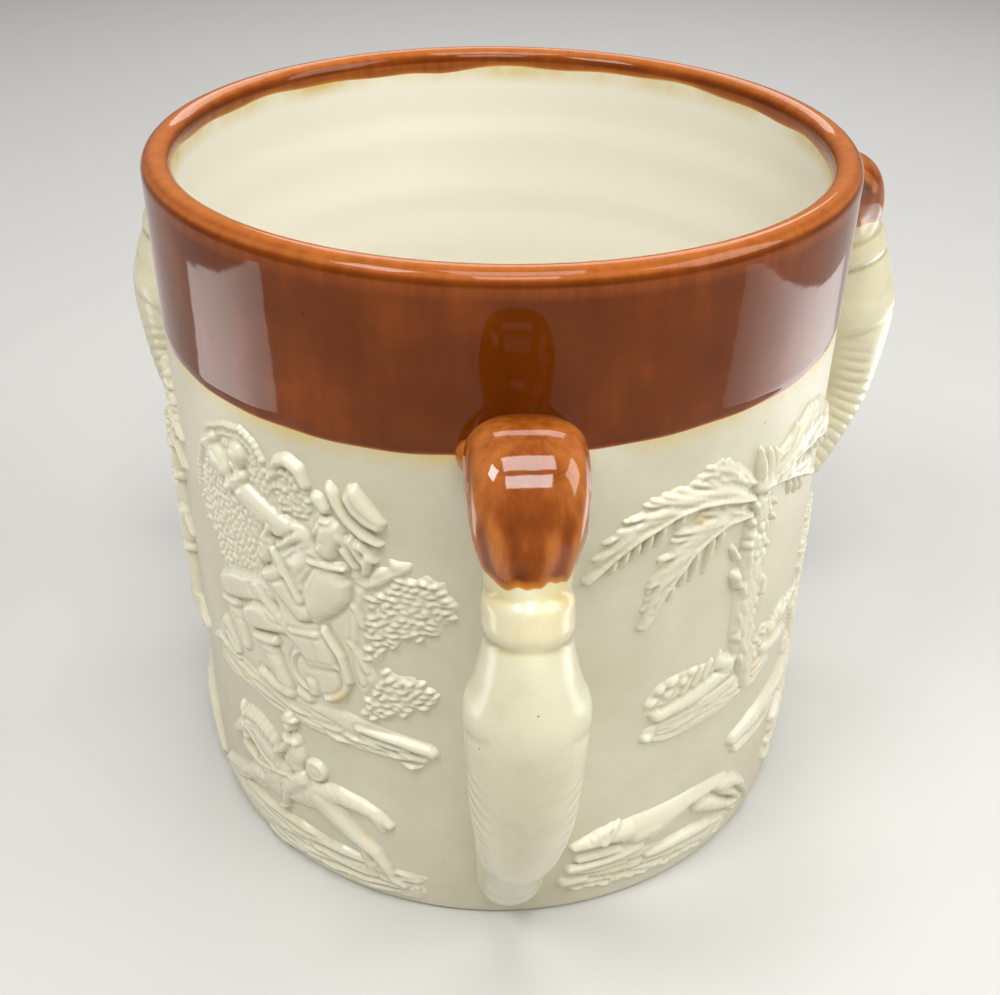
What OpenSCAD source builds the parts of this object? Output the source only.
// Loving cup of brown stoneware: a thrown cylinder with a brown dipped rim, three moulded
// greyhound handles and applied relief sprigs of a drinker, palm trees and a hunt.
// Millimetres. The base stands on z = 0, the cup's axis is Z, the front handle points to -Y.

/* [Cup] */
// Height of the cup from the table to the top of the lip
cup_h = 150; // [138:1:165]
// Outside diameter of the wall
cup_d = 142; // [130:1:156]
// Thickness of the wall, which the lip rounds off
wall_t = 5.4; // [4.6:0.1:6.6]
// Thickness of the floor
floor_t = 9; // [7:0.5:12]
// Radius of the hollow where the wall meets the floor inside
inner_round = 12; // [6:1:20]
// Width of the bevel round the foot
foot_bevel = 1.5; // [0.6:0.1:3]

/* [Brown dip] */
// How far the brown dip comes down the outside from the lip
dip_h = 32.5; // [28:0.5:37]
// How far the dip runs down the inside from the lip
dip_inside = 6; // [5:0.5:9]
// Thickness of the dip's glaze
dip_t = 0.3; // [0.2:0.05:0.5]

/* [Greyhound handles] */
// Turn of the right handle from the front one, in degrees
right_turn = 116.5; // [112:0.5:124]
// Turn of the left handle from the front one, in degrees
left_turn = -127; // [-131:0.5:-116]
// How far the dog's back stands off the wall at the chest
reach = 45; // [41:0.5:52]
// How far the top of the head lies below the lip
head_drop = 13.7; // [11:0.1:16]
// Height of the tail's end above the table
tail_z = 5.8; // [4.8:0.2:9]
// Width across the head
head_w = 19; // [17:0.2:21]
// Width across the neck
neck_w = 13; // [11.8:0.1:14.5]
// Width across the chest
chest_w = 20.2; // [18:0.2:23]
// Depth of the chest from the back to the breastbone
chest_deep = 22; // [19:0.2:24]
// Width of the haunch where the handle comes back to the wall
haunch_w = 13.6; // [12:0.2:15]
// Length of the collar along the neck
collar_h = 5.4; // [4.6:0.2:7]
// How far the collar stands out from the neck
collar_t = 0.8; // [0.5:0.1:1.4]
// Number of ribs that show on each flank
rib_count = 7; // [4:1:9]
// How far a rib stands out from the flank
rib_t = 0.6; // [0.3:0.1:1]
// How far the shoulder stands out above the crease across the flank
shoulder_t = 0.4; // [0.2:0.1:0.8]

/* [Sprigs] */
// Greatest height of a sprig above the wall
relief = 2.8; // [1.8:0.1:3.6]
// Height of the lower edge of the upper sprigs above the table
upper_z = 43; // [43:0.5:46]
// Gap between the upper sprigs and the edge of the dip
upper_gap = 4.5; // [3:0.5:7]
// Height of the lower edge of the hunt above the table
hunt_z = 1.6; // [1.2:0.1:2]

/* [Hidden] */
wall_r = cup_d / 2;
lip_r = wall_t / 2;
bore_r = wall_r - wall_t;
dip_z = cup_h - dip_h;
head_z = cup_h - head_drop;
dog_h = head_z - tail_z;
// radius of the wall that the sprigs' drawings are made for
plan_r = 71;
// height that the upper sprigs are drawn in
plan_h = 70;
upper_stretch = (dip_z - upper_gap - upper_z) / plan_h;
// flats of the cylinder that cuts the backs of the sprigs and handles to the wall
wall_sides = 54;
// how far a sprig's strokes start below the wall's face
sink = 1.5;
stoneware = [0.80, 0.77, 0.67];
clay = [0.88, 0.86, 0.74];
brown = [0.50, 0.24, 0.08];

// The thrown pot

module wall_section(grow, low, low_in) {
    r = lip_r + grow;
    translate([wall_r - lip_r, cup_h - lip_r]) circle(r = r, $fn = 48);
    translate([wall_r - lip_r, low]) square([r, cup_h - lip_r - low]);
    translate([wall_r - lip_r - r, low_in]) square([r, cup_h - lip_r - low_in]);
}

module cup_body() {
    color(stoneware) rotate_extrude($fn = 180) {
        wall_section(0, floor_t + inner_round, floor_t + inner_round);
        polygon([[0, 0], [wall_r - foot_bevel, 0], [wall_r, foot_bevel], [wall_r, floor_t], [0, floor_t]]);
        difference() {
            translate([bore_r - inner_round, floor_t]) square([inner_round + wall_t, inner_round]);
            translate([bore_r - inner_round, floor_t + inner_round]) circle(r = inner_round, $fn = 64);
        }
    }
}

module brown_dip() {
    color(brown) rotate_extrude($fn = 180) difference() {
        wall_section(dip_t, dip_z, cup_h - dip_inside);
        wall_section(0, dip_z - 1, dip_z - 1);
    }
}

// The greyhound, drawn in its own plane: out from the wall, up from the table.
// Each section: share of the reach, share of the dog's height, half depth, half width.
// They run from the nose in the wall, over the head and down the back to the tail in the wall.
sections = [
    [-0.10, 0.866, head_w * 0.22, head_w * 0.22],
    [0.06, 0.874, head_w * 0.26, head_w * 0.25],
    [0.20, 0.892, head_w * 0.34, head_w * 0.38],
    [0.345, 0.914, head_w * 0.41, head_w * 0.50],
    [0.475, 0.914, head_w * 0.45, head_w * 0.49],
    [0.575, 0.876, head_w * 0.40, head_w * 0.47],
    [0.625, 0.828, neck_w * 0.57, neck_w * 0.535],
    [0.685, 0.772, neck_w * 0.66, neck_w * 0.505],
    [0.735, 0.712, chest_deep * 0.46, chest_w * 0.40],
    [0.755, 0.650, chest_deep * 0.50, chest_w * 0.50],
    [0.755, 0.566, chest_deep * 0.46, chest_w * 0.475],
    [0.725, 0.474, chest_deep * 0.39, chest_w * 0.44],
    [0.62, 0.394, chest_deep * 0.35, chest_w * 0.40],
    [0.47, 0.322, haunch_w * 0.52, haunch_w * 0.56],
    [0.31, 0.256, haunch_w * 0.47, haunch_w * 0.54],
    [0.18, 0.180, haunch_w * 0.45, haunch_w * 0.54],
    [0.085, 0.110, haunch_w * 0.43, haunch_w * 0.53],
    [0.02, 0.052, haunch_w * 0.38, haunch_w * 0.48],
    [-0.06, 0.030, haunch_w * 0.25, haunch_w * 0.36]];
last = len(sections) - 1;

function knot(i) = sections[max(0, min(last, i))];

// smooth value of the sections at s, which counts sections from the nose
function section(s) =
    let (i = min(last - 1, floor(s)), t = s - i, a = knot(i - 1), b = knot(i), c = knot(i + 1), d = knot(i + 2))
    0.5 * (2 * b + (c - a) * t + (2 * a - 5 * b + 4 * c - d) * t * t + (3 * b - a - 3 * c + d) * t * t * t);

function spine(s) = let (k = section(s)) [k[0] * reach, tail_z + k[1] * dog_h];

function backward(s) =
    let (d = spine(min(last, s + 0.05)) - spine(max(0, s - 0.05))) [-d.y, d.x] / norm(d);

// the shoulders swell the flanks down to a crease, and the ribs below it
shoulder_from = 7.6;
crease = 9.2;
rib_from = 10.1;
rib_to = 13.9;

function flank(s) =
    s > shoulder_from && s <= crease ? shoulder_t * (s - shoulder_from) / (crease - shoulder_from)
    : s > rib_from && s < rib_to
        ? rib_t * (0.5 - 0.5 * cos(360 * rib_count * (s - rib_from) / (rib_to - rib_from)))
        : 0;

// the head's sections are squarer than the body's ovals
function corner(s, v) = sign(v) * pow(abs(v), 1 - 0.42 * max(0, 1 - pow((s - 3.9) / 2.4, 2)));

// a point of the dog's skin: a = 0 on the right flank, 90 along the back, 180 on the left flank
function skin(s, a, swell = 0) =
    let (k = section(s), c = spine(s), n = backward(s), q = (k[2] + swell) * corner(s, sin(a)))
    [(k[3] + swell + flank(s)) * corner(s, cos(a)), -(wall_r + c.x + q * n.x), c.y + q * n.y];

module loft(steps, sides, swell = 0) {
    rings = len(steps) - 1;
    points = [for (s = steps, j = [0:sides - 1]) skin(s, 360 * j / sides, swell)];
    walls = [for (i = [0:rings - 1], j = [0:sides - 1])
        let (k = (j + 1) % sides, p = i * sides, q = p + sides)
        each [[p + j, q + k, p + k], [p + j, q + j, q + k]]];
    start = [for (j = [0:sides - 1]) j];
    end = [for (j = [sides - 1:-1:0]) rings * sides + j];
    polyhedron(points, concat(walls, [start, end]));
}

module ball(p, r) {
    translate(p) sphere(r = r, $fn = r < 4 ? 6 : 8);
}

module limb(points) {
    for (i = [0:len(points) - 2]) hull() {
        ball(points[i][0], points[i][1]);
        ball(points[i + 1][0], points[i + 1][1]);
    }
}

// the ear lies folded back along the side of the head
module ear(side) {
    limb([[skin(3.4, 90 - 48 * side, -head_w * 0.07), head_w * 0.11],
        [skin(4.2, 90 - 74 * side, -head_w * 0.06), head_w * 0.11],
        [skin(5.2, 90 - 80 * side, -head_w * 0.05), head_w * 0.08]]);
}

// the forepaw that rests on the wall beside the muzzle
module forepaw(side) {
    limb([[skin(1.8, -90 + 55 * side, -head_w * 0.1), head_w * 0.15],
        [[side * head_w * 0.45, -(wall_r - foot_bevel), dip_z + head_w * 0.04], head_w * 0.13]]);
}

module greyhound(turn) {
    difference() {
        rotate([0, 0, turn]) {
            loft(concat([for (i = [0:15]) crease * i / 15], [crease + 0.1, 9.7],
                [for (i = [0:2 * rib_count]) rib_from + (rib_to - rib_from) * i / (2 * rib_count)],
                [for (s = [14.7:1.1:17]) s], [last]), 12);
            collar_s = 6.76;
            half = collar_h / dog_h / 0.117;
            loft([for (i = [-1, -0.5, 0.5, 1]) collar_s + i * half], 12, collar_t);
            for (side = [-1, 1]) {
                ear(side);
                forepaw(side);
            }
        }
        translate([0, 0, -1]) cylinder(r = wall_r / cos(180 / wall_sides), h = cup_h + 2, $fn = wall_sides);
        translate([0, 0, dip_z])
            cylinder(r = (wall_r + dip_t) / cos(180 / wall_sides), h = dip_h, $fn = wall_sides);
    }
}

module greyhound_front() {
    color(clay) greyhound(0);
}

module greyhound_right() {
    color(clay) greyhound(right_turn);
}

module greyhound_left() {
    color(clay) greyhound(left_turn);
}

// Sprigs are drawn flat: x along the wall, y up, then the stroke's half width and its share of the relief.

module dab(p) {
    r = p[2] * max($stretch, wall_r / plan_r);
    h = relief * p[3];
    rotate([0, 0, p[0] / plan_r * 180 / PI])
        translate([0, sink - wall_r, $ground + p[1] * $stretch])
            rotate([90, 0, 0])
                cylinder(r1 = r * (1 + 0.45 * sink / h), r2 = r * 0.55, h = sink + h, $fn = p[2] < 4.5 ? 6 : 8);
}

module stroke(points) {
    for (i = [0:len(points) - 2]) hull() {
        dab(points[i]);
        dab(points[i + 1]);
    }
}

module mound(points) {
    hull() for (p = points) dab(p);
}

module sprig(turn, ground, stretch) {
    $ground = ground;
    $stretch = stretch;
    difference() {
        rotate([0, 0, turn]) children();
        translate([0, 0, -1]) cylinder(r = wall_r / cos(180 / wall_sides), h = cup_h + 2, $fn = wall_sides);
    }
}

// a seated drinker who lifts a jug, between a leafy arbour and a bush
module toper() {
    // arbour on the left and the leaves over the arm
    mound([[-24, 34, 3, 0.5], [-27, 46, 3, 0.5], [-18, 42, 3, 0.5], [-13, 38, 2.5, 0.5]]);
    mound([[-27, 46, 3, 0.5], [-24, 60, 4, 0.55], [-13, 52, 4, 0.5], [-13, 38, 2.5, 0.5]]);
    mound([[-24, 60, 4, 0.55], [-15, 65.5, 3.5, 0.5], [-9, 62, 3.5, 0.5], [-13, 52, 4, 0.5]]);
    mound([[0, 65, 2.4, 0.5], [3, 62, 2.4, 0.5], [-1, 55.5, 2.4, 0.5], [-3, 60, 2.4, 0.5]]);
    // ground
    stroke([[-32, 5.4, 2.2, 0.5], [-14, 5.6, 3.6, 0.6], [6, 5.4, 3.2, 0.6], [26, 4, 2.4, 0.5]]);
    mound([[-29, 12, 2.4, 0.5], [-24, 14, 2.6, 0.55], [-24, 8, 3, 0.55]]);
    // tree and bushes behind the back
    stroke([[13, 19, 2, 0.5], [11.5, 33, 2, 0.5], [15, 43, 2, 0.5], [23.5, 50, 1.4, 0.45]]);
    mound([[16, 29, 2, 0.4], [18, 45, 2.2, 0.5], [27, 47, 2.4, 0.55], [31, 42, 2.2, 0.45], [25, 34, 2.4, 0.45]]);
    mound([[15, 12.5, 2.2, 0.4], [18, 22.5, 2.2, 0.5], [23, 22, 2.2, 0.5], [27.5, 19.5, 1.8, 0.4], [22, 14, 2, 0.4]]);
    // barrel
    stroke([[3.4, 18.6, 7, 0.5], [3.6, 19.4, 7, 0.5]]);
    // legs
    stroke([[-4, 30, 4.2, 0.8], [-22, 28, 3.4, 0.85], [-19.4, 15.6, 2.2, 0.6], [-25, 14, 1.9, 0.55]]);
    stroke([[-3, 25.6, 4.2, 0.9], [-13.5, 23.4, 3.5, 0.95], [-6, 10, 2.3, 0.7], [-12, 10, 2, 0.65]]);
    // body and coat
    stroke([[5, 24, 5, 0.7], [0.5, 29, 6, 0.85], [4, 45.5, 6.2, 0.9]]);
    // arms and jug
    stroke([[3, 51, 3.4, 0.8], [-14.5, 55.7, 2.8, 0.85], [-13, 62.8, 2.6, 0.9]]);
    stroke([[-20.4, 59, 3.8, 0.9], [-19.8, 60, 3.6, 0.9]]);
    stroke([[10, 43, 4, 0.95], [1.5, 32, 3.3, 1], [-6.3, 40.5, 2.6, 0.95], [-6, 48, 2, 0.8]]);
    // head and hat
    stroke([[5, 47.6, 2.6, 0.8], [9.4, 53, 3.8, 0.95], [14, 51, 3, 0.75]]);
    stroke([[8.2, 63.5, 1.7, 0.8], [18.6, 52.5, 1.7, 0.8]]);
    stroke([[13, 62.6, 2.4, 0.9], [18.4, 57, 2.4, 0.9]]);
}

// a palm tree on a stony bank
module palm() {
    // ground
    stroke([[-24, 5, 2.2, 0.5], [-4, 4.4, 3, 0.6], [13, 3, 2.2, 0.5]]);
    stroke([[-21, 9.6, 2, 0.6], [-3, 12, 2.2, 0.6]]);
    mound([[-22, 15, 1.4, 0.4], [-11, 17.5, 1.4, 0.4], [-6, 12, 1.6, 0.5], [-20, 11, 1.6, 0.5]]);
    stroke([[6, 12.5, 2, 0.6], [14, 12, 2.6, 0.6], [24, 11.5, 1.6, 0.4]]);
    // trunk with its leaf scars
    stroke([[1.6, 5, 4.8, 0.75], [-0.4, 18, 4.4, 0.85], [-1.4, 32, 4.2, 0.85], [-0.8, 44, 4.2, 0.85], [-1.6, 56, 3.6, 0.8]]);
    stroke([[-6.4, 36.6, 1.3, 0.5], [-4, 34.5, 1.6, 0.7]]);
    stroke([[-7.6, 43.7, 1.3, 0.5], [-4, 41.5, 1.6, 0.7]]);
    stroke([[3.9, 29.4, 1.3, 0.5], [1.6, 27, 1.6, 0.7]]);
    // crown
    stroke([[-1.6, 56, 3, 0.8], [-3, 64, 1.8, 0.6]]);
    stroke([[-1.6, 56, 3, 0.8], [2, 63, 1.8, 0.6]]);
    stroke([[-2.6, 55, 2.6, 0.85], [-13, 61, 3, 0.9], [-23, 59.5, 2.8, 0.85], [-32, 55.5, 2.4, 0.7], [-39, 48, 1, 0.4]]);
    stroke([[-4, 50, 2.4, 0.8], [-13, 52, 2.8, 0.85], [-20.5, 48.5, 2.4, 0.8], [-24.4, 42.5, 1.9, 0.6], [-27.6, 34, 0.9, 0.4]]);
    stroke([[0, 57, 2.6, 0.85], [10.4, 61, 3, 0.9], [19.4, 62, 2.8, 0.85], [31, 56, 2.2, 0.7], [40, 48, 1, 0.4]]);
    stroke([[3, 53.4, 2.4, 0.8], [13.4, 53.4, 2.6, 0.85], [22.4, 48.7, 1.8, 0.5]]);
}

// a leafy bush on a long bank
module bush() {
    stroke([[-30, 4, 2.2, 0.5], [-12, 3.6, 3, 0.6], [8, 3.6, 3, 0.6], [26, 3.6, 2.2, 0.5]]);
    stroke([[-22, 8.6, 1.8, 0.55], [-4, 8, 2.6, 0.6], [20, 8, 2.2, 0.5]]);
    stroke([[8, 9, 3, 0.7], [9, 22, 2.6, 0.75], [8, 34, 2, 0.6]]);
    mound([[2, 22, 2.6, 0.45], [0, 29, 2.6, 0.5], [9, 33, 3, 0.6], [17, 29, 2.6, 0.5], [14, 21, 2.6, 0.45]]);
    mound([[2, 33, 2.6, 0.45], [1, 40, 2.6, 0.5], [8, 48, 2.6, 0.55], [15, 42, 2.6, 0.5], [15, 33, 2.6, 0.45]]);
    mound([[-2, 15, 1.8, 0.4], [-3, 11, 1.8, 0.5], [4, 11, 1.8, 0.5]]);
    mound([[13, 11, 1.8, 0.5], [17, 16, 1.8, 0.4], [21, 11, 1.8, 0.4]]);
}

// a slender ringed tree with a tuft of leaves
module sapling() {
    stroke([[-9, 3, 2.2, 0.5], [0, 4, 3, 0.6], [9, 3, 2.2, 0.5]]);
    stroke([[0, 4, 3.2, 0.7], [-0.8, 20, 2.6, 0.85], [0.6, 38, 2.4, 0.85], [0, 50, 2.2, 0.85]]);
    for (y = [16, 27, 38]) stroke([[-2.2, y, 1.3, 0.9], [2.2, y, 1.3, 0.9]]);
    mound([[-5, 50, 2.2, 0.5], [-6, 58, 2.2, 0.6], [0, 64, 2.4, 0.6], [6, 58, 2.2, 0.6], [5, 50, 2.2, 0.5]]);
    stroke([[-4, 52, 1.8, 0.6], [-9, 46, 1.2, 0.4]]);
    stroke([[4, 52, 1.8, 0.6], [9, 46, 1.2, 0.4]]);
}

// a rider on a galloping horse
module horse() {
    stroke([[-33, 4, 2.2, 0.45], [-19, 5, 3.8, 0.5], [-5, 5.4, 4.4, 0.5], [9, 5.4, 4.4, 0.5], [21, 5, 4, 0.5],
        [32, 4.8, 3.8, 0.45]]);
    // far legs
    stroke([[-10, 15.6, 2.2, 0.6], [-17.6, 12.5, 1.5, 0.55], [-20, 9, 1.2, 0.5]]);
    stroke([[10, 25, 2.6, 0.7], [20.6, 24.2, 1.6, 0.6], [24.6, 21, 1.3, 0.5]]);
    // barrel, haunch and near legs
    stroke([[-9.6, 21, 4.4, 0.9], [1.6, 20, 4.4, 0.95], [9, 24, 4.6, 0.95]]);
    stroke([[-11, 19, 2.6, 0.8], [-19, 13.7, 1.6, 0.7], [-24, 10, 1.3, 0.6], [-30.6, 6.8, 1.3, 0.5]]);
    stroke([[10.6, 20, 3.2, 0.9], [20.8, 13, 1.8, 0.75], [25, 6, 1.3, 0.6]]);
    // neck, head and mane
    stroke([[-7, 24, 4.2, 0.9], [-13, 32, 3.4, 0.85], [-16.4, 30, 2.2, 0.85], [-20, 24.6, 1.5, 0.7]]);
    stroke([[-2, 30, 1.6, 0.7], [-5, 35, 1.6, 0.75], [-11, 36.6, 1.5, 0.7], [-15.6, 34.2, 1.2, 0.6]]);
    // rider
    stroke([[3.6, 27, 3, 1], [-3, 14.4, 1.7, 0.95]]);
    stroke([[4, 28.6, 3, 1], [2.4, 36.6, 2.6, 0.95], [2.6, 41.4, 1.6, 0.9]]);
    stroke([[2.2, 35.4, 1.5, 1], [-4, 32.6, 1.2, 0.9]]);
    stroke([[6, 30.6, 2.4, 0.8], [8.6, 31, 2.4, 0.8]]);
}

// a running hound
module hound() {
    stroke([[-25, 7.4, 1.8, 0.45], [-8, 8, 3, 0.55], [10, 6.4, 2.6, 0.5], [24, 4.8, 1.6, 0.45]]);
    stroke([[-22.6, 18.2, 1.2, 0.7], [-18.8, 19.6, 2, 0.85], [-13, 20, 2.5, 0.85], [-7.6, 18, 4, 0.95]]);
    stroke([[-7.6, 18, 4, 0.95], [1.4, 19, 3.2, 0.9], [9, 20, 2.6, 0.85], [17, 18, 2.7, 0.85]]);
    stroke([[-17.6, 23.6, 0.9, 0.8], [-16.4, 21, 1.2, 0.9]]);
    stroke([[-9.6, 15.4, 2, 0.7], [-18, 13.6, 1.3, 0.65], [-24, 11.4, 1, 0.55]]);
    stroke([[17.4, 17.4, 2.2, 0.8], [24, 13, 1.2, 0.6], [28.6, 5.8, 1, 0.5]]);
    stroke([[10.6, 17, 2.2, 0.7], [16, 11, 1.2, 0.55], [22, 6.4, 1, 0.45]]);
    stroke([[18.4, 19.6, 0.9, 0.6], [25.6, 20.6, 0.7, 0.4]]);
}

module toper_left() {
    color(clay) sprig(-35, upper_z, upper_stretch) toper();
}

module toper_back() {
    color(clay) sprig(144, upper_z, upper_stretch) toper();
}

module palm_right() {
    color(clay) sprig(42.5, upper_z, upper_stretch) palm();
}

module palm_back() {
    color(clay) sprig(-156, upper_z, upper_stretch) palm();
}

module sapling_left() {
    color(clay) sprig(-77, upper_z, upper_stretch) sapling();
}

module bush_right() {
    color(clay) sprig(68, hunt_z + 23, 1) bush();
}

module horse_left() {
    color(clay) sprig(-41.5, hunt_z, 1) horse();
}

module horse_back() {
    color(clay) sprig(152, hunt_z, 1) horse();
}

module hound_right() {
    color(clay) sprig(29.5, hunt_z, 1) hound();
}

module hound_rear() {
    color(clay) sprig(82, hunt_z, 1) hound();
}

module hound_left() {
    color(clay) sprig(-94, hunt_z, 1) hound();
}

cup_body();
brown_dip();
greyhound_front();
greyhound_right();
greyhound_left();
toper_left();
toper_back();
palm_right();
palm_back();
sapling_left();
bush_right();
horse_left();
horse_back();
hound_right();
hound_rear();
hound_left();
